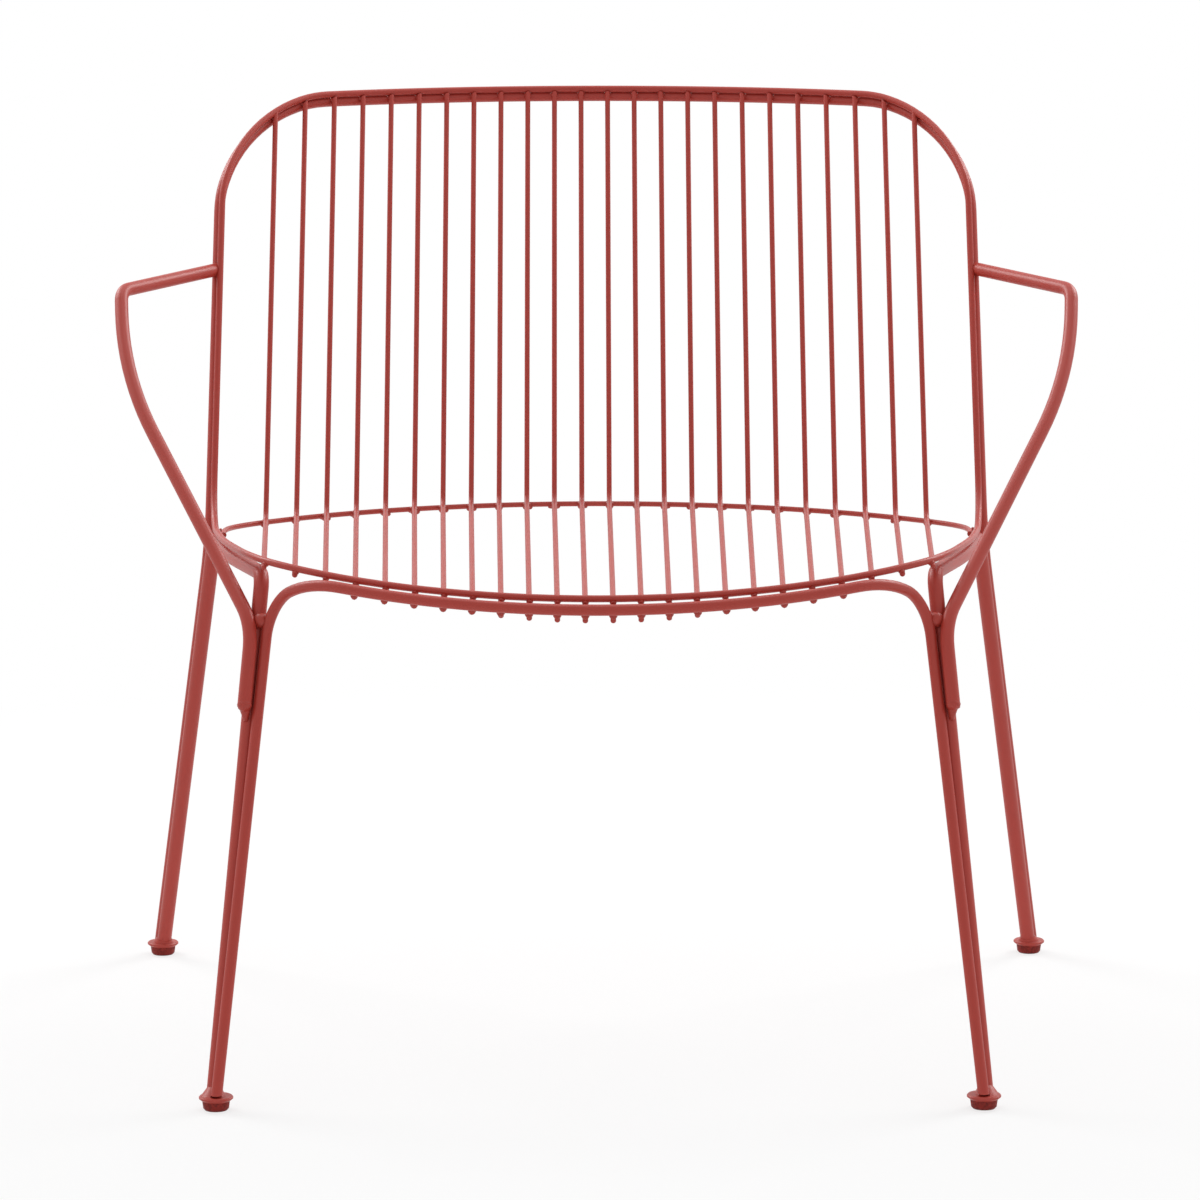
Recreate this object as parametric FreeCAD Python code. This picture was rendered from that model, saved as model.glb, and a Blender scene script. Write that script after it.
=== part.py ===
import FreeCAD, Part
import math
import os
from FreeCAD import Vector as V

os.makedirs("parts", exist_ok=True)

# Garden armchair of welded round bar. Millimetres, X to the viewer's right, front faces -Y, floor at Z = 0.

# Bar diameters, the gap left between welded bars and the tolerance of the cuts
rim_dia = 5.0
wire_dia = 4.0
hoop_dia = 8.0
arch_dia = 8.0
arm_dia = 10.0
frame_dia = 11.0
weld_gap = 0.1
cut_slack = 0.001

# Back shell, an oblique cylinder that leans back
back_top = 667.2
upright_top_x = 286.5
upright_low_x = 289.6
shell_radius = 366.0
shell_back = 201.0
recline = math.radians(23.4)
top_corner = 78.0
rim_behind = 0.6
hoop_behind = 6.7
hoop_below = 6.0
hoop_outside_top = 2.4
hoop_outside_low = 2.4

# Seat edge, measured on the centre line of the rim
seat_height = 356.0
nose_y = -271.5
nose_drop = 4.8
knee_x = 247.5
knee_y = -180.0
knee_rise = 11.5
side_bow = 6.0
side_sweep = 700.0
seat_bend = 60.0
knee_blend = 45.0

# Shell wires
wire_count = 24
wire_pitch = 21.6
wire_flare = 1.015
wire_ease = 2.0
crease_drop = 2.0
crease_bend = 14.0
fan_length = 5260.0
tip_bend = 4.0
tip_long = 12.2
tip_short = 6.0
tip_span = 130.0
tip_limit = 182.0
wire_past_rim = 3.0
wire_top_gap = 1.2

# Front arch
arch_lead = 10.0
arch_drop_mid = 4.7
arch_drop_side = 3.5
shoulder_x = 182.0
shoulder_fall = 44.0
arch_round_top = math.radians(47.0)
arch_round_foot = math.radians(15.0)

# Side frames, corners below the rim and feet on the floor
rail_drop_rear = 9.2
rail_drop_front = 13.2
rail_front_x = 240.0
rail_front_y = -172.0
frame_bend = 16.0
rail_bow = 5.5
foot_front_x = 267.6
foot_front_y = -326.0
foot_rear_x = 340.0
foot_rear_y = 177.0
bar_out_front = 1.6
bar_back_front = 4.5
hoop_out_rear = 2.8
hoop_back_rear = 6.0
hoop_knee_drop = 11.0
hoop_knee_bend = 70.0
hoop_outboard = 3.3

# Arms, measured from the seat corner
arm_root_rise = 185.5
arm_corner_out = 64.4
arm_corner_y = 30.0
arm_corner_rise = 181.0
arm_waist_out = 59.3
arm_waist_y = -27.0
arm_waist_rise = 124.4
arm_joint_drop = 34.0
arm_end_drop = 89.5
arm_outboard = 3.3
arm_clear = 0.93
arm_corner_bend = 20.0
arm_waist_bend = 340.0
arm_joint_bend = 55.0

# Feet
end_allowance = 8.0
disc_dia = 24.0
disc_top = 10.0
disc_bottom = 6.6
disc_edge = 1.2
disc_seat_dia = 20.0
pad_dia = 19.4
pad_floor_dia = 15.6
pad_grooves = 18
stem_dia = 6.8
stem_hole_dia = 7.2
slit_under_rod = 1.5
bead_width = 2.4
bead_height = 4.0

# Weld beads of the arms
joint_bead_drop = 35.0
joint_bead_dia = 11.0
end_bead_length = 9.0

lean = math.tan(recline)
nose = V(0, nose_y, seat_height - nose_drop)
knee = V(knee_x, knee_y, seat_height + knee_rise)
arm_corner = V(upright_low_x + arm_corner_out, arm_corner_y, seat_height + arm_corner_rise)
arm_waist = V(upright_low_x + arm_waist_out, arm_waist_y, seat_height + arm_waist_rise)
arm_joint_z = seat_height - arm_joint_drop
arm_end_z = seat_height - arm_end_drop


def unit(v):
    return v * (1.0 / v.Length)


def line(p0, p1):
    return Part.LineSegment(p0, p1).toShape()


def on_line(p, d, z):
    """Point at height z on the line through p along d."""
    return p + d * ((z - p.z) / d.z)


def arc(p0, t0, p1):
    """Circular arc that leaves p0 along t0 and ends at p1, or a line when the three agree."""
    chord = p1 - p0
    side = chord - t0 * chord.dot(t0)
    if side.Length < 1e-7 * chord.Length:
        return line(p0, p1)
    inward = unit(side)
    radius = chord.dot(chord) / (2.0 * chord.dot(inward))
    centre = p0 + inward * radius
    middle = unit((p0 - centre) + (p1 - centre))
    return Part.Arc(p0, centre + middle * radius, p1).toShape()


def biarc(p0, t0, p1, t1):
    """Two arcs tangent to each other that join p0 along t0 to p1 along t1."""
    v = p1 - p0
    a = 2.0 * (1.0 - t0.dot(t1))
    b = v.dot(t0 + t1)
    c = v.dot(v)
    if a < 1e-9:
        d = c / (2.0 * b)
    else:
        d = (math.sqrt(b * b + a * c) - b) / a
    q0 = p0 + t0 * d
    q1 = p1 - t1 * d
    joint = (q0 + q1) * 0.5
    return [arc(p0, t0, joint), arc(joint, unit(q1 - q0), p1)]


def bent(points, radii):
    """Straight runs between the points with a tangent arc at every inner one."""
    edges = []
    start = points[0]
    for i in range(1, len(points) - 1):
        d0 = unit(points[i] - points[i - 1])
        d1 = unit(points[i + 1] - points[i])
        reach = radii[i - 1] * math.tan(d0.getAngle(d1) / 2.0)
        p0 = points[i] - d0 * reach
        p1 = points[i] + d1 * reach
        edges.append(line(start, p0))
        edges.append(arc(p0, d0, p1))
        start = p1
    edges.append(line(start, points[-1]))
    return edges


def rod(edges, dia):
    """Round bar swept along a smooth chain of lines and arcs."""
    path = Part.Wire(edges)
    first = path.Edges[0]
    p = first.valueAt(first.FirstParameter)
    t = first.tangentAt(first.FirstParameter)
    ring = Part.Wire([Part.Circle(p, t, dia / 2.0).toShape()])
    return path.makePipeShell([ring], True, False)


def mirrored(shape):
    return shape.mirror(V(0, 0, 0), V(1, 0, 0))


def whole(half):
    """Join a half that ends on the plane X = 0 to its mirror image."""
    return half.fuse(mirrored(half)).removeSplitter()


def largest(shape):
    return max(shape.Solids, key=lambda s: s.Volume)


def above(shape, z):
    """Part of the shape over a level plane."""
    far = 2.0 * back_top
    box = Part.makeBox(2.0 * far, 2.0 * far, far, V(-far, -far, z))
    return largest(shape.common(box))


def shell_point(x, z, radius):
    """Point of the leaning cylinder of the given plan radius."""
    depth = shell_back - shell_radius + math.sqrt(radius * radius - x * x)
    return V(x, depth + (z - seat_height) * lean, z)


def shell_tangent(dx, dz, x, radius):
    slope = -x / math.sqrt(radius * radius - x * x)
    return unit(V(dx, slope * dx + lean * dz, dz))


def shell_bow(top_x, low_x, top_z, radius):
    """Right half of a round-cornered bow on the shell: edges down to the upright, its top end and direction."""
    x0 = top_x - top_corner
    z0 = top_z - top_corner
    flare = math.atan2(low_x - top_x, z0 - seat_height)
    end = shell_point(x0, top_z, radius)
    edges = [Part.Arc(shell_point(0, top_z, radius), shell_point(x0 / 2.0, top_z, radius), end).toShape()]
    steps = 3
    for k in range(steps):
        pts = []
        tans = []
        for share in (k / steps, (k + 1) / steps):
            a = share * (math.pi / 2 - flare)
            x = x0 + top_corner * math.sin(a)
            z = z0 + top_corner * math.cos(a)
            pts.append(shell_point(x, z, radius))
            tans.append(shell_tangent(math.cos(a), -math.sin(a), x, radius))
        edges += biarc(pts[0], tans[0], pts[1], tans[1])
    return edges, pts[1], tans[1]


# Front edge of the seat, a circle in a plane that rises from the nose to both knees
front_rise = V(0, knee.y - nose.y, knee.z - nose.z)
front_sag = front_rise.Length
front_up = unit(front_rise)
front_radius = (knee_x ** 2 + front_sag ** 2) / (2.0 * front_sag)


def front_point(x, lead=0.0, drop=0.0):
    """Point of the front edge at x, moved outwards in its plane and straight down."""
    r = front_radius + lead
    return nose + front_up * (front_radius - math.sqrt(r * r - x * x)) + V(x, 0, -drop)


def front_tangent(x, lead=0.0):
    r = front_radius + lead
    return unit(V(math.sqrt(r * r - x * x), 0, 0) + front_up * x)


def bowed_middle(rear, front, bow):
    """Point halfway along a seat side, moved level and outwards from the straight line."""
    along = front - rear
    return (rear + front) * 0.5 + unit(V(-along.y, along.x, 0)) * bow


def rim_half():
    edges, top, down = shell_bow(upright_top_x, upright_low_x, back_top, shell_radius + rim_behind)
    corner = on_line(top, down, seat_height)
    middle = bowed_middle(corner, knee, side_bow)
    side = unit(knee - middle)
    blend_start = knee - side * knee_blend
    run = bent([top, corner, middle, blend_start], [seat_bend, side_sweep])
    x1 = knee_x - knee_blend * 0.62
    front = front_point(x1)
    blend = biarc(blend_start, side, front, front_tangent(x1) * -1.0)
    last = Part.Arc(front, front_point(x1 / 2.0), nose).toShape()
    return edges + run + blend + [last]


# Lines of the legs, on the right side
rail_front = V(rail_front_x, rail_front_y, knee.z - rail_drop_front)
front_foot = V(foot_front_x + bar_out_front, foot_front_y + bar_back_front, disc_top)
front_leg = unit(front_foot - rail_front)
front_normal = unit(V(0, front_leg.z, -front_leg.y))
front_side = front_normal.cross(front_leg)
if front_side.x < 0:
    front_side = front_side * -1.0
arch_reach = ((frame_dia + arch_dia) / 2 + weld_gap) / math.cos((arch_round_top - arch_round_foot) / 2)
arm_front = math.sqrt(((frame_dia + arm_dia) / 2 + arm_clear) ** 2 - arm_outboard ** 2)
arm_shift = front_normal * arm_front + front_side * arm_outboard

hoop_radius = shell_radius + hoop_behind
hoop_bow, hoop_top, hoop_down = shell_bow(upright_top_x + hoop_outside_top, upright_low_x + hoop_outside_low,
                                          back_top - hoop_below, hoop_radius)
hoop_knee = on_line(hoop_top, hoop_down, seat_height - hoop_knee_drop)
hoop_foot = V(foot_rear_x + hoop_out_rear, foot_rear_y + hoop_back_rear, disc_top)
rear_leg = unit(hoop_foot - hoop_knee)
rear_normal = unit(V(0, rear_leg.z, -rear_leg.y))
if rear_normal.y > 0:
    rear_normal = rear_normal * -1.0
rear_side = V(1, 0, 0) - rear_leg * rear_leg.x
rear_gap = math.sqrt(((frame_dia + hoop_dia) / 2 + weld_gap) ** 2 - hoop_outboard ** 2)
rear_shift = rear_normal * rear_gap - unit(rear_side) * hoop_outboard


def frame_edges():
    corner = on_line(hoop_knee + rear_shift, rear_leg, seat_height - rail_drop_rear)
    middle = bowed_middle(corner, rail_front, rail_bow)
    rear_end = on_line(corner, rear_leg, disc_bottom - end_allowance)
    front_end = on_line(rail_front, front_leg, disc_bottom - end_allowance)
    points = [front_end, rail_front, middle, corner, rear_end]
    return bent(points, [frame_bend, side_sweep, frame_bend])


def hoop_half():
    end = on_line(hoop_knee, rear_leg, disc_bottom - end_allowance)
    return hoop_bow + bent([hoop_top, hoop_knee, end], [hoop_knee_bend])


def round_front_bar(angle):
    """Offset from the front leg bar to the arch beside it, turned from straight ahead towards the middle."""
    return (front_normal * math.cos(angle) - front_side * math.sin(angle)) * arch_reach


def arch_half():
    start = front_point(0, arch_lead, arch_drop_mid)
    end = front_point(shoulder_x, arch_lead, arch_drop_side)
    rail = arc(start, V(1, 0, 0), end)
    leg_z = end.z - shoulder_fall
    leg_top = on_line(rail_front, front_leg, leg_z) + round_front_bar(arch_round_top)
    leg_foot = on_line(rail_front, front_leg, disc_top) + round_front_bar(arch_round_foot)
    leg = unit(leg_foot - leg_top)
    bend = biarc(end, rail.tangentAt(rail.LastParameter), leg_top, leg)
    return [rail] + bend + [line(leg_top, on_line(leg_top, leg, disc_bottom - end_allowance))]


def arm_edges():
    root = on_line(hoop_top, hoop_down, seat_height + arm_root_rise)
    joint = on_line(rail_front + arm_shift, front_leg, arm_joint_z)
    end = on_line(rail_front + arm_shift, front_leg, arm_end_z)
    return bent([root, arm_corner, arm_waist, joint, end], [arm_corner_bend, arm_waist_bend, arm_joint_bend])


def tip_drop(x):
    share = min(1.0, (x / tip_span) ** 2)
    return tip_long - (tip_long - tip_short) * share


def wire_place(k):
    """Distance of wire k from the middle, a little closer than even halfway out."""
    share = (k + 0.5) / (wire_count / 2.0)
    return (k + 0.5) * wire_pitch - wire_ease * math.sin(math.pi * share)


def wire_points(x0):
    """Corner points of one shell wire: top, crease, front and, in the middle of the seat, the tip."""
    crease = shell_point(x0 * wire_flare, seat_height - crease_drop, shell_radius)
    top = shell_point(x0, back_top, shell_radius)
    under = (rim_dia + wire_dia) / 2.0 + weld_gap / 2.0
    xf = x0
    for k in range(6):
        front = front_point(xf) - V(0, 0, under)
        xf = crease.x * (1.0 - (crease.y - front.y) / fan_length)
    t = front_tangent(xf)
    secant = 1.0 / math.hypot(t.x, t.z)
    if abs(xf) > tip_limit:
        end = front + unit(front - crease) * wire_past_rim
        return [top, crease, end], [crease_bend]
    bar = front_point(xf, arch_lead)
    behind = (wire_dia + arch_dia) / 2.0 + weld_gap
    corner = V(xf, bar.y + behind * secant, front.z)
    return [top, crease, corner, corner - V(0, 0, tip_drop(xf))], [crease_bend, tip_bend]


def cross_edges():
    """Half of the wire that runs behind all crease bends, then forwards along the inner side of the rim."""
    turn = math.pi / 2 - recline
    apex = crease_bend * (1.0 / math.cos(turn / 2) - 1.0)
    outward = unit(V(0, 1.0 - math.sin(recline), -math.cos(recline)))
    step = outward * (wire_dia + 2 * weld_gap - apex)
    z = seat_height - crease_drop
    radius = shell_radius + step.y
    x1 = (wire_count / 2.0 - 0.25) * wire_pitch * wire_flare
    pts = []
    for x in (0, x1 / 2, x1):
        pts.append(shell_point(x, z, radius) + V(0, 0, step.z))
    back = Part.Arc(*pts).toShape()
    corner = shell_point(upright_low_x, seat_height, shell_radius + rim_behind)
    side = unit(bowed_middle(corner, knee, side_bow) - corner)
    inward = unit(V(side.y, -side.x, 0))
    beside = (rim_dia + wire_dia) / 2.0 + weld_gap
    level = V(0, 0, -1.5)
    end = corner + side * seat_bend + inward * math.sqrt(beside ** 2 - level.z ** 2) + level
    return [back] + biarc(pts[2], back.tangentAt(back.LastParameter), end, side)


def rounded_end(shape, p, r):
    """Round off the cut end of a bar near p."""
    edge = min(shape.Edges, key=lambda e: (e.CenterOfMass - p).Length)
    return shape.makeFillet(r, [edge])


def arm_end_bead():
    """Bead that runs out from the cut arm end onto the front leg."""
    end = on_line(rail_front + arm_shift, front_leg, arm_end_z)
    inward = unit(arm_shift) * -1.0
    wide = Part.Circle(end + inward * 0.6, front_leg, arm_dia * 0.42).toShape()
    low = end + front_leg * end_bead_length + inward * (arm_dia / 2 + arm_clear)
    thin = Part.Circle(low, front_leg, arm_dia * 0.16).toShape()
    return Part.makeLoft([Part.Wire([wide]), Part.Wire([thin])], True)


def joint_bead():
    """Bead in the valley between arm, arch and front leg."""
    at = on_line(rail_front, front_leg, seat_height - joint_bead_drop)
    across = (arm_outboard - arm_dia / 2 - arch_reach * math.sin(arch_round_top) + arch_dia / 2) / 2.0
    at = at + front_side * across + front_normal * (frame_dia / 2 + joint_bead_dia * 0.1)
    return Part.makeSphere(joint_bead_dia / 2, at)


def foot_disc(leg_foot, leg_dir, centre, cutters):
    """Flanged disc with the weld bead that holds the leg."""
    r = disc_dia / 2.0
    e = disc_edge
    hole = stem_hole_dia / 2.0
    pts = [V(hole, 0, disc_bottom), V(disc_seat_dia / 2.0, 0, disc_bottom), V(r, 0, disc_top - e - 0.6),
           V(r, 0, disc_top - e + 0.4), V(r - 0.8, 0, disc_top), V(hole, 0, disc_top)]
    face = Part.Face(Part.makePolygon(pts + [pts[0]]))
    disc = face.revolve(V(0, 0, 0), V(0, 0, 1), 360)
    disc.translate(V(centre.x, centre.y, 0))
    back = 6.0
    wide = frame_dia / 2.0 + bead_width
    low = leg_foot + leg_dir * back
    slope = bead_width / bead_height
    bead = Part.makeCone(wide + slope * back, frame_dia / 2.0, bead_height + back, low, leg_dir * -1.0)
    over = Part.makeCylinder(r - 1.0, 40.0, V(centre.x, centre.y, disc_top))
    bead = bead.common(over)
    for c in cutters:
        bead = bead.cut(c)
    joined = disc.fuse(bead.Solids)
    return largest(joined.removeSplitter())


def glide_pad():
    """Moulded glide: grooved tapering foot with a rounded floor edge and a press-in stem."""
    r = pad_dia / 2.0
    f = pad_floor_dia / 2.0
    s = stem_dia / 2.0
    pts = [V(0, 0, 0), V(f, 0, 0), V(r - 0.7, 0, 1.4), V(r, 0, disc_bottom), V(s, 0, disc_bottom),
           V(s, 0, disc_top - 1.0), V(s - 0.6, 0, disc_top - 0.4), V(0, 0, disc_top - 0.4)]
    pad = Part.Face(Part.makePolygon(pts + [pts[0]])).revolve(V(0, 0, 0), V(0, 0, 1), 360)
    cutters = []
    for k in range(pad_grooves):
        a = 2 * math.pi * k / pad_grooves
        p = V((r + 0.25) * math.cos(a), (r + 0.25) * math.sin(a), -1.0)
        cutters.append(Part.makeCylinder(0.7, disc_bottom + 0.2, p))
    return largest(pad.cut(Part.makeCompound(cutters)))


# The part's origin is on the floor, midway between the front feet's discs and the back of the hoop
front_most = foot_front_y - disc_dia / 2.0
back_most = shell_point(0, back_top - hoop_below, hoop_radius).y + hoop_dia / 2.0
to_origin = V(0, -(front_most + back_most) / 2.0, 0)


def save(name, shape):
    shape.translated(to_origin).exportStep("parts/" + name + ".step")


fat = 2.0 * weld_gap

# Rim, hoop and arch
rim = whole(rod(rim_half(), rim_dia))
rim_fat = rod(rim_half(), rim_dia + fat)
rim_clear = rod(rim_half()[:3], rim_dia + 2.0 * wire_top_gap)
save("seat_back_rim", rim)
hoop_side = rod(hoop_half(), hoop_dia)
hoop_fat = rod(hoop_half(), hoop_dia + fat)
save("back_hoop", above(whole(hoop_side), disc_top + slit_under_rod * 0.5))
arch_side = rod(arch_half(), arch_dia)
arch_fat = rod(arch_half(), arch_dia + fat)
save("front_arch", above(whole(arch_side), disc_top + slit_under_rod))

# Side frames and arms
frame_bar = rod(frame_edges(), frame_dia)
frame_fat = rod(frame_edges(), frame_dia + fat)
frame = above(frame_bar, disc_top)
save("side_frame_right", frame)
save("side_frame_left", mirrored(frame))
arm = largest(rod(arm_edges(), arm_dia).cut([rim_fat, hoop_fat]))
save("arm_right", arm)
save("arm_left", mirrored(arm))

# Weld beads of the arms, cut clear of the bars they hold
arm_fat = rod(arm_edges(), arm_dia + fat)
end_bead = largest(arm_end_bead().cut([frame_fat, arch_fat]))
save("weld_arm_end_right", end_bead)
save("weld_arm_end_left", mirrored(end_bead))
bead = largest(joint_bead().cut([frame_fat, arch_fat, arm_fat]))
save("weld_joint_right", bead)
save("weld_joint_left", mirrored(bead))

# Shell wires, the leftmost is number one
for k in range(wire_count // 2):
    points, radii = wire_points(wire_place(k))
    wire = largest(rod(bent(points, radii), wire_dia).cut([rim_fat, rim_clear], cut_slack))
    wire = rounded_end(wire, points[-1], wire_dia * 0.46)
    save("shell_wire_%02d" % (wire_count // 2 + 1 + k), wire)
    save("shell_wire_%02d" % (wire_count // 2 - k), mirrored(wire))

# Cross wire under the crease, its ends swept forwards to the rim
cross_half = rod(cross_edges(), wire_dia)
save("crease_cross_wire", whole(cross_half))

# Feet
pad = glide_pad()
spots = {"front": (V(foot_front_x, foot_front_y, 0), on_line(rail_front, front_leg, disc_top), front_leg),
         "rear": (V(foot_rear_x, foot_rear_y, 0), on_line(hoop_knee + rear_shift, rear_leg, disc_top), rear_leg)}
for place, (centre, leg_foot, leg_dir) in spots.items():
    disc = foot_disc(leg_foot, leg_dir, centre, [frame_fat, arch_fat, hoop_fat])
    save("foot_disc_%s_right" % place, disc)
    save("foot_disc_%s_left" % place, mirrored(disc))
    here = pad.copy()
    here.translate(centre)
    save("glide_pad_%s_right" % place, here)
    save("glide_pad_%s_left" % place, mirrored(here))
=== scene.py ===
import math

import bpy
import numpy as np
from mathutils import Matrix, Vector
from mathutils.bvhtree import BVHTree


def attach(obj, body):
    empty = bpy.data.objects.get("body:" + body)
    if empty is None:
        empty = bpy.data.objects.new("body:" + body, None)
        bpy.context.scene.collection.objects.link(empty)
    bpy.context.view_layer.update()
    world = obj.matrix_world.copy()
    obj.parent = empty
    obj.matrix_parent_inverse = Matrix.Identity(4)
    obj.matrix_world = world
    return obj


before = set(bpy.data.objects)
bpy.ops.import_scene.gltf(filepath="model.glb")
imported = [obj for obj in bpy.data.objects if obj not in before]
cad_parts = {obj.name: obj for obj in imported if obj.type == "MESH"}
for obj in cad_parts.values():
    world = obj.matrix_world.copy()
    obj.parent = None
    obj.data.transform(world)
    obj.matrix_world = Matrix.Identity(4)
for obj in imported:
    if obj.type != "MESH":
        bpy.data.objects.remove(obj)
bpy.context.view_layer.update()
millimetre = 0.001

# Axes of the chair's frame
rightward, rearward, upward = 0, 1, 2

# Colours as linear red, green, blue and alpha
brick_deep = (0.385, 0.036, 0.023, 1)
brick_fresh = (0.455, 0.046, 0.031, 1)
weld_deep = (0.365, 0.034, 0.022, 1)
weld_fresh = (0.435, 0.044, 0.029, 1)
glide_dark = (0.17, 0.014, 0.009, 1)
glide_light = (0.29, 0.024, 0.017, 1)
paper_grey = (0.85, 0.85, 0.85, 1)
plain_white = (1, 1, 1, 1)

# Depth of the orange peel on the bars and on the rougher welds, and of the skin of the plastic, in metres
bar_peel = 0.0002
weld_peel = 0.0005
plastic_peel = 0.0002

# Half axes of the weld knobs and their shifts from the middle of the gap, in millimetres:
# level along the joint, across the gap, and square to both
crease_axes = (3.6, 3.8, 2.7)
crease_shift = (0, 1.8, -2.0)
lump_axes = (2.3, 2.1, 1.6)
lump_shift = (2.7, 2.9, -1.8)
cross_end_axes = (2.2, 1.4, 2.2)
front_axes = (2.5, 1.9, 2.6)
tip_axes = (3.3, 2.4, 4.6)
tip_shift = (0, -0.8, 1.8)
top_axes = (3.0, 1.2, 2.2)
arm_end_axes = (5.4, 5.0, 5.4)
arm_end_shift = (0, -1.2, 0)

# Widest gap that a tip weld bridges, and how far an arm's end ring reaches above its lowest point,
# in millimetres
tip_weld_gap = 0.6
end_ring_rise = 6

# Extra lumps beside a crease weld: their draw, the most there are, the odds of left and right, and the
# range of their size
lump_seed = 11
most_lumps = 2
lump_odds = (0.3, 0.7)
lump_spread = (0.8, 1.2)


class Field:
    """A shader socket that takes part in Python sums: each operator adds one Math node to its tree."""

    def __init__(self, tree, socket):
        self.tree = tree
        self.socket = socket

    def _math(self, operation, first, second=None):
        node = self.tree.nodes.new("ShaderNodeMath")
        node.operation = operation
        for place, value in enumerate((first, second)):
            if isinstance(value, Field):
                self.tree.links.new(value.socket, node.inputs[place])
            elif value is not None:
                node.inputs[place].default_value = value
        return Field(self.tree, node.outputs[0])

    def __add__(self, other):
        return self._math("ADD", self, other)

    def __radd__(self, other):
        return self._math("ADD", other, self)

    def __sub__(self, other):
        return self._math("SUBTRACT", self, other)

    def __rsub__(self, other):
        return self._math("SUBTRACT", other, self)

    def __mul__(self, other):
        return self._math("MULTIPLY", self, other)

    def __rmul__(self, other):
        return self._math("MULTIPLY", other, self)

    def at_least(self, other):
        return self._math("MAXIMUM", self, other)

    def at_most(self, other):
        return self._math("MINIMUM", self, other)

    def size(self):
        return self._math("ABSOLUTE", self)


class Finish:
    """One node tree, filled through a single method."""

    def __init__(self, tree):
        self.tree = tree
        self.tree.nodes.clear()

    def node(self, kind, settings=None, inputs=None, out=0):
        """Adds a node of a kind: its settings come first, then the values or links of its sockets."""
        made = self.tree.nodes.new("ShaderNode" + kind)
        for name, value in (settings or {}).items():
            setattr(made, name, value)
        for name, value in (inputs or {}).items():
            if isinstance(value, Field):
                self.tree.links.new(value.socket, made.inputs[name])
            else:
                made.inputs[name].default_value = value
        if isinstance(out, tuple):
            return tuple(Field(self.tree, made.outputs[place]) for place in out)
        return Field(self.tree, made.outputs[out]) if made.outputs else None


def new_finish(name):
    material = bpy.data.materials.new(name)
    material.use_nodes = True
    return material, Finish(material.node_tree)


def noise(finish, scale, detail, roughness=0.5):
    """Soft noise on Object coordinates, with about as many lumps to the metre as its scale."""
    place = finish.node("TexCoord", out="Object")
    return finish.node(
        "TexNoise", None, {"Vector": place, "Scale": scale, "Detail": detail, "Roughness": roughness})


def blend_colour(finish, share, first, second):
    """Mix of two colours. Mix repeats its socket names for each kind of data, so they go by place here."""
    factor, colour_a, colour_b, colour_result = 0, 6, 7, 2
    return finish.node(
        "Mix", {"data_type": "RGBA"}, {factor: share, colour_a: first, colour_b: second}, out=colour_result)


def background_rays(finish):
    """One for rays that show the background, straight, mirrored or through glass, and zero for the others."""
    straight, mirrored, through = finish.node(
        "LightPath", out=("Is Camera Ray", "Is Glossy Ray", "Is Transmission Ray"))
    return straight.at_least(mirrored).at_least(through)


def powder_coat(name, deep, fresh, peel):
    """Baked powder coat: broad cloudy shade, a fine even grain, and the orange-peel skin as a small bump."""
    cloud_share, skin_share = 0.6, 0.7
    least_rough, grain_rough, cloud_rough = 0.36, 0.08, 0.06
    material, finish = new_finish(name)
    cloud = noise(finish, scale=14.0, detail=3.0, roughness=0.55)
    grain = noise(finish, scale=900.0, detail=2.0, roughness=0.6)
    skin = noise(finish, scale=420.0, detail=2.0)
    shade = (cloud * cloud_share + grain * (1 - cloud_share)).at_most(1.0)
    colour = blend_colour(finish, shade, deep, fresh)
    rough = least_rough + grain * grain_rough + cloud * cloud_rough
    height = skin * skin_share + grain * (1 - skin_share)
    bump = finish.node("Bump", None, {"Strength": 0.2, "Distance": peel, "Height": height})
    shader = finish.node(
        "BsdfPrincipled", None,
        {"Base Color": colour, "Roughness": rough, "Normal": bump, "Specular IOR Level": 0.42})
    finish.node("OutputMaterial", None, {"Surface": shader})
    return material


def moulded_plastic(name, dark, light, peel):
    """Moulded glide plastic: matt, with dark flow specks and a fine eroded skin."""
    speck_level, speck_contrast = 0.38, 4.0
    least_rough, skin_rough = 0.5, 0.15
    material, finish = new_finish(name)
    flow = noise(finish, scale=520.0, detail=3.0)
    skin = noise(finish, scale=1800.0, detail=2.0)
    share = ((flow - speck_level) * speck_contrast).at_least(0.0).at_most(1.0)
    colour = blend_colour(finish, share, dark, light)
    rough = least_rough + skin * skin_rough
    bump = finish.node("Bump", None, {"Strength": 0.3, "Distance": peel, "Height": skin})
    shader = finish.node(
        "BsdfPrincipled", None,
        {"Base Color": colour, "Roughness": rough, "Normal": bump, "Specular IOR Level": 0.25})
    finish.node("OutputMaterial", None, {"Surface": shader})
    return material


brick_coat = powder_coat("brick_powder_coat", brick_deep, brick_fresh, bar_peel)
weld_coat = powder_coat("weld_powder_coat", weld_deep, weld_fresh, weld_peel)
glide_plastic = moulded_plastic("glide_plastic", glide_dark, glide_light, plastic_peel)


def coat_of(node):
    if node.startswith("glide_pad"):
        return glide_plastic
    if node.startswith("weld"):
        return weld_coat
    return brick_coat


def coat_nodes():
    """Gives every CAD node its finish."""
    for name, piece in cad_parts.items():
        piece.data.materials.clear()
        piece.data.materials.append(coat_of(name))


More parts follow.
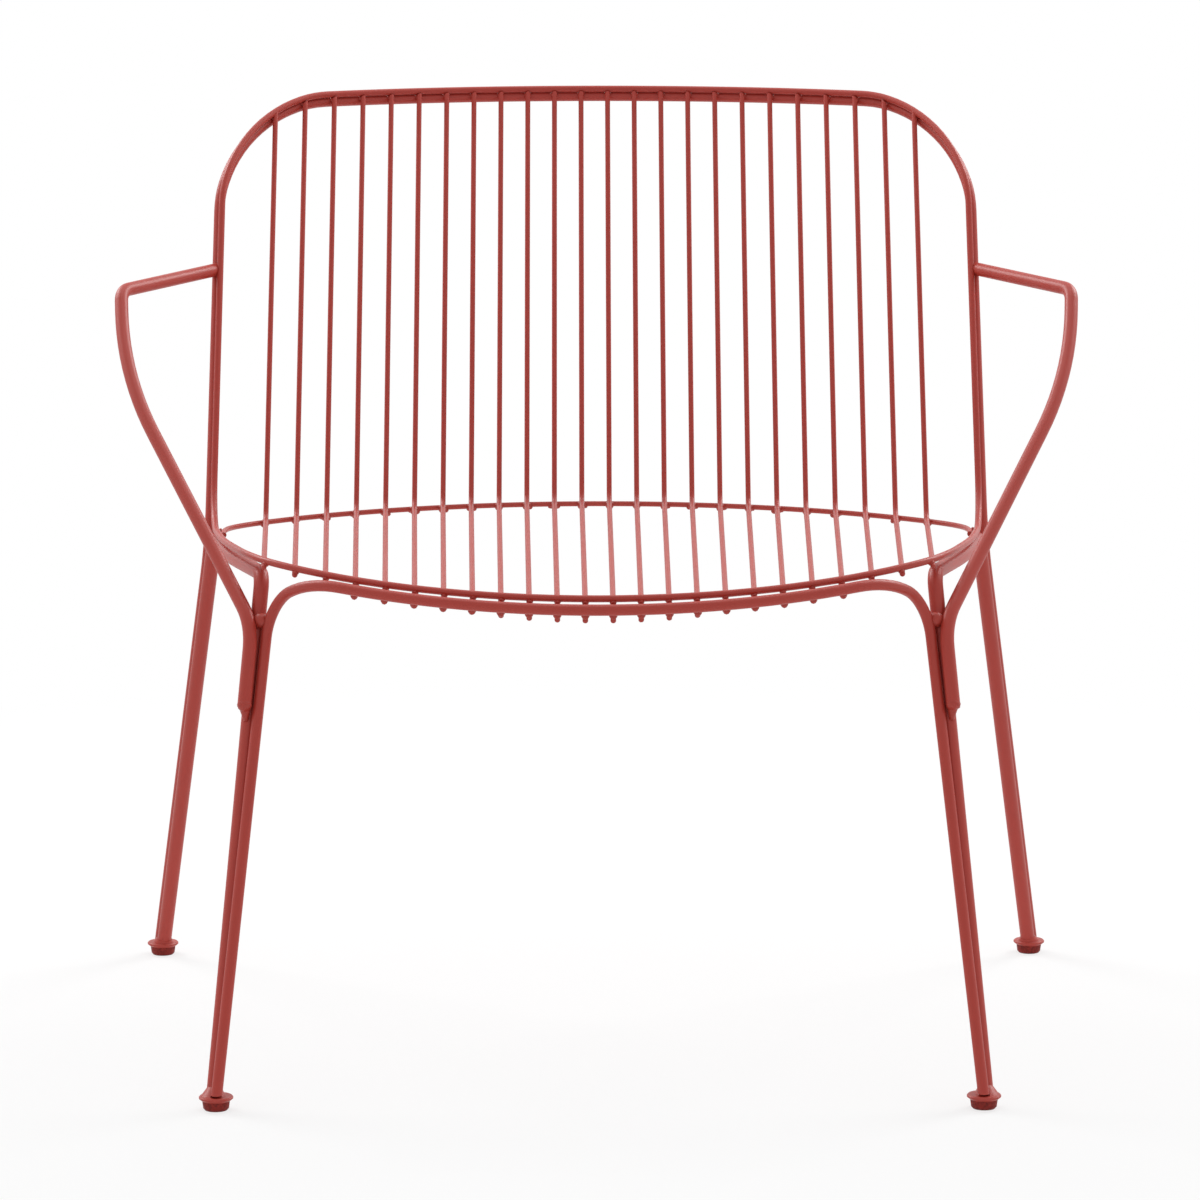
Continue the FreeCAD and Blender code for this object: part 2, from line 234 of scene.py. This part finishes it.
class Skin:
    """Surface of a CAD node in the chair's frame, asked where it comes closest to another."""

    def __init__(self, node):
        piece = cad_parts[node]
        mesh = piece.data
        flat = np.empty(3 * len(mesh.vertices), np.float32)
        mesh.vertices.foreach_get("co", flat)
        corners = np.empty(len(mesh.loops), np.int32)
        mesh.loops.foreach_get("vertex_index", corners)
        pose = np.array(piece.matrix_world)
        self.places = flat.reshape(-1, 3) @ pose[:3, :3].T + pose[:3, 3]
        self.tree = BVHTree.FromPolygons(self.places.tolist(), corners.reshape(-1, 3).tolist())

    def outermost(self, axis, sign):
        """Vertex that lies furthest along an axis, or against it where the sign is negative."""
        return Vector(self.places[np.argmax(sign * self.places[:, axis])])

    def beside(self, x):
        """Vertex whose x is closest to the one given."""
        return Vector(self.places[np.argmin(np.abs(self.places[:, rightward] - x))])

    def meet(self, other, start):
        """Middle of the narrowest gap to another surface, the way across it, and its width.

        Each surface in turn gives its point nearest to the other's last one, often enough for them to settle.
        """
        exchanges = 20
        here = start
        for _ in range(exchanges):
            there, facing, _, _ = other.tree.find_nearest(here)
            here, _, _, gap = self.tree.find_nearest(there)
        return np.array((here + there) / 2), -np.array(facing), gap


def knob(middle, toward, axes, shift=(0, 0, 0)):
    """Centre and half axes of a weld knob: level along the joint, across the gap, and square to both."""
    level = np.array((1.0, 0, 0)) - toward[rightward] * toward
    level = level / np.linalg.norm(level)
    ways = np.stack((level, toward, np.cross(level, toward)))
    return middle + np.array(shift) @ ways * millimetre, ways * np.array(axes)[:, None] * millimetre


def ball_faces(rings, turns):
    """Faces of a ball whose points come ring by ring from below, then its lower and upper pole.

    Four-sided faces join each point to the next turn and the next ring, and triangles close the poles.
    """
    ring, turn = np.meshgrid(np.arange(rings - 1) * turns, np.arange(turns), indexing="ij")
    after = (turn + 1) % turns
    sides = np.stack((ring + turn, ring + after, ring + turns + after, ring + turns + turn), -1)
    edge = np.arange(turns)
    onward = (edge + 1) % turns
    last_ring = (rings - 1) * turns
    lower_pole = np.full(turns, rings * turns)
    lower = np.stack((onward, edge, lower_pole), -1)
    upper = np.stack((last_ring + edge, last_ring + onward, lower_pole + 1), -1)
    return sides.reshape(-1, 4), np.concatenate((lower, upper))


def weld_knobs(name, knobs, seed):
    """All knobs of one kind of joint as one mesh.

    A knob is a ball drawn out along its three half axes: the point at height angle u and turn v is the centre
    plus cos u cos v, cos u sin v and sin u times the axes, swollen a little with three soft waves in v.
    """
    rings, turns = 5, 10
    waves, swell = 3, 0.07
    centres = np.array([centre for centre, _ in knobs])
    axes = np.array([half_axes for _, half_axes in knobs])
    u = np.linspace(-math.pi / 2, math.pi / 2, rings + 2)[1:-1, None]
    v = np.linspace(0, 2 * math.pi, turns, endpoint=False)[None, :]
    ball = np.stack((np.cos(u) * np.cos(v), np.cos(u) * np.sin(v), np.sin(u) + 0 * v), -1).reshape(-1, 3)
    phase = np.random.default_rng(seed).uniform(0, 2 * math.pi, (len(knobs), 1))
    wave = 1 + swell * (np.cos(u) * np.sin(waves * v)).reshape(1, -1) * np.cos(phase)
    rounds = centres[:, None] + wave[..., None] * np.einsum("pk,nkj->npj", ball, axes)
    poles = centres[:, None] + np.stack((-axes[:, 2], axes[:, 2]), 1)
    points = np.concatenate((rounds, poles), 1)
    sides, caps = ball_faces(rings, turns)
    first_point = np.arange(len(knobs))[:, None, None] * points.shape[1]
    faces = (sides + first_point).reshape(-1, 4).tolist() + (caps + first_point).reshape(-1, 3).tolist()
    mesh = bpy.data.meshes.new(name)
    mesh.from_pydata(points.reshape(-1, 3).tolist(), [], faces)
    mesh.shade_smooth()
    mesh.materials.append(weld_coat)
    piece = bpy.data.objects.new(name, mesh)
    bpy.context.scene.collection.objects.link(piece)
    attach(piece, "root")


def shell_welds():
    """Resistance welds of the shell wires at the crease, the front edge, the front arch and the top rail."""
    rim, hoop = Skin("seat_back_rim"), Skin("back_hoop")
    cross, arch = Skin("crease_cross_wire"), Skin("front_arch")
    chance = np.random.default_rng(lump_seed)
    crease, front, tips, tops = [], [], [], []
    for node in sorted(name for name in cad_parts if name.startswith("shell_wire")):
        wire = Skin(node)
        tip = wire.outermost(rearward, -1)
        middle, toward, _ = wire.meet(cross, cross.beside(tip[rightward]))
        crease.append(knob(middle, toward, crease_axes, crease_shift))
        for _ in range(chance.integers(0, most_lumps + 1)):
            side = chance.choice((-1, 1), p=lump_odds)
            spread = chance.uniform(*lump_spread)
            axes = np.array(lump_axes) * (spread, spread, 1)
            crease.append(knob(middle, toward, axes, np.array(lump_shift) * (side, 1, 1)))
        middle, toward, _ = wire.meet(rim, tip)
        front.append(knob(middle, toward, front_axes))
        middle, toward, gap = wire.meet(arch, tip)
        if gap < tip_weld_gap * millimetre:
            tips.append(knob(middle, toward, tip_axes, tip_shift))
        middle, toward, _ = wire.meet(hoop, wire.outermost(upward, 1))
        tops.append(knob(middle, toward, top_axes))
    for sign in (-1, 1):
        middle, toward, _ = cross.meet(rim, cross.outermost(rightward, sign))
        crease.append(knob(middle, toward, cross_end_axes))
    weld_knobs("crease_welds", crease, seed=3)
    weld_knobs("front_edge_welds", front, seed=4)
    weld_knobs("wire_tip_welds", tips, seed=5)
    weld_knobs("top_rail_welds", tops, seed=6)


def arm_end_welds():
    """Weld build-up that rounds the square lower end of each arm: a ball just above its end's middle.

    The direction in which the end ring is flattest, its last singular vector, is the way out of the end.
    """
    ends = []
    for side in ("left", "right"):
        arm = Skin("arm_" + side).places
        height = arm[:, upward]
        ring = arm[height < height.min() + end_ring_rise * millimetre]
        middle = ring.mean(0)
        square = np.linalg.svd(ring - middle, full_matrices=False)[2][2]
        ends.append(knob(middle, -np.sign(square[upward]) * square, arm_end_axes, arm_end_shift))
    weld_knobs("arm_end_welds", ends, seed=7)


def pale_floor():
    """Level square under the feet: paper that takes the chair's soft shadow, plain white further out."""
    half_edge = 8.0
    fade_start, fade_width = 0.5, 0.9
    least_white = 0.72
    corners = [(-half_edge, -half_edge, 0), (half_edge, -half_edge, 0),
               (half_edge, half_edge, 0), (-half_edge, half_edge, 0)]
    mesh = bpy.data.meshes.new("floor")
    mesh.from_pydata(corners, [], [(0, 1, 2, 3)])
    floor = bpy.data.objects.new("floor", mesh)
    bpy.context.scene.collection.objects.link(floor)
    material, finish = new_finish("floor_paper")
    place = finish.node("TexCoord", out="Object")
    reach = finish.node("VectorMath", {"operation": "LENGTH"}, {0: place}, out="Value")
    far = ((reach - fade_start) * (1 / fade_width)).at_least(0.0).at_most(1.0)
    paper = finish.node(
        "BsdfPrincipled", None, {"Base Color": paper_grey, "Roughness": 0.9, "Specular IOR Level": 0.1})
    glow = finish.node("Emission", None, {"Color": plain_white, "Strength": 1.0})
    share = (least_white + (1 - least_white) * far) * background_rays(finish)
    shader = finish.node("MixShader", None, {0: share, 1: paper, 2: glow})
    finish.node("OutputMaterial", None, {"Surface": shader})
    mesh.materials.append(material)


def softbox(name, place, aim, edge, watts):
    """Square area lamp turned towards a point."""
    lamp = bpy.data.lights.new(name, "AREA")
    lamp.shape = "SQUARE"
    lamp.size = edge
    lamp.energy = watts
    holder = bpy.data.objects.new(name, lamp)
    holder.location = place
    holder.rotation_mode = "QUATERNION"
    holder.rotation_quaternion = (Vector(aim) - Vector(place)).to_track_quat("-Z", "Y")
    bpy.context.scene.collection.objects.link(holder)


def studio_lamps():
    """A weak lamp overhead and a stronger one on each side, all behind the seat's middle."""
    softbox("top_softbox", place=(0, 0.5, 3.0), aim=(0, 0, 0.3), edge=1.7, watts=12)
    for name, sign in (("left_softbox", -1), ("right_softbox", 1)):
        softbox(name, place=(1.88 * sign, 1.58, 2.17), aim=(0, 0, 0.45), edge=1.3, watts=40)


def studio_sky():
    """White backdrop where it is seen or mirrored; for the light it gives, a tent brighter at the sides."""
    middle_level, side_gain = 0.5, 0.25
    world = bpy.data.worlds.new("studio")
    bpy.context.scene.world = world
    world.use_nodes = True
    finish = Finish(world.node_tree)
    way = finish.node("TexCoord", out="Generated")
    sideways = finish.node("SeparateXYZ", None, {"Vector": way}, out="X")
    tent = middle_level + side_gain * sideways.size()
    seen = background_rays(finish)
    level = tent * (1.0 - seen) + seen
    sky = finish.node("Background", None, {"Color": plain_white, "Strength": level})
    finish.node("OutputWorld", None, {"Surface": sky})


def photo_camera():
    """Camera at the viewing point of the photograph: long lens, a little above, almost square on."""
    place = (-0.02329, -4.14085, 0.95317)
    yaw, pitch, roll = math.radians(0.3526), math.radians(8.861), math.radians(-0.048)
    ahead = Vector((math.sin(yaw), math.cos(yaw), 0))
    forward = ahead * math.cos(pitch) - Vector((0, 0, 1)) * math.sin(pitch)
    right = Vector((math.cos(yaw), -math.sin(yaw), 0))
    up = Vector((0, 0, 1)) * math.cos(pitch) + ahead * math.sin(pitch)
    side = right * math.cos(roll) + up * math.sin(roll)
    top = up * math.cos(roll) - right * math.sin(roll)
    camera = bpy.data.cameras.new("camera")
    camera.sensor_width = 36.0
    camera.lens = 168.4
    camera.clip_end = 50.0
    holder = bpy.data.objects.new("camera", camera)
    turn = Matrix((side, top, -forward)).transposed().to_4x4()
    holder.matrix_world = Matrix.Translation(place) @ turn
    bpy.context.scene.collection.objects.link(holder)
    bpy.context.scene.camera = holder


coat_nodes()
shell_welds()
arm_end_welds()
pale_floor()
studio_lamps()
studio_sky()
photo_camera()
bpy.context.scene.view_settings.view_transform = "Standard"
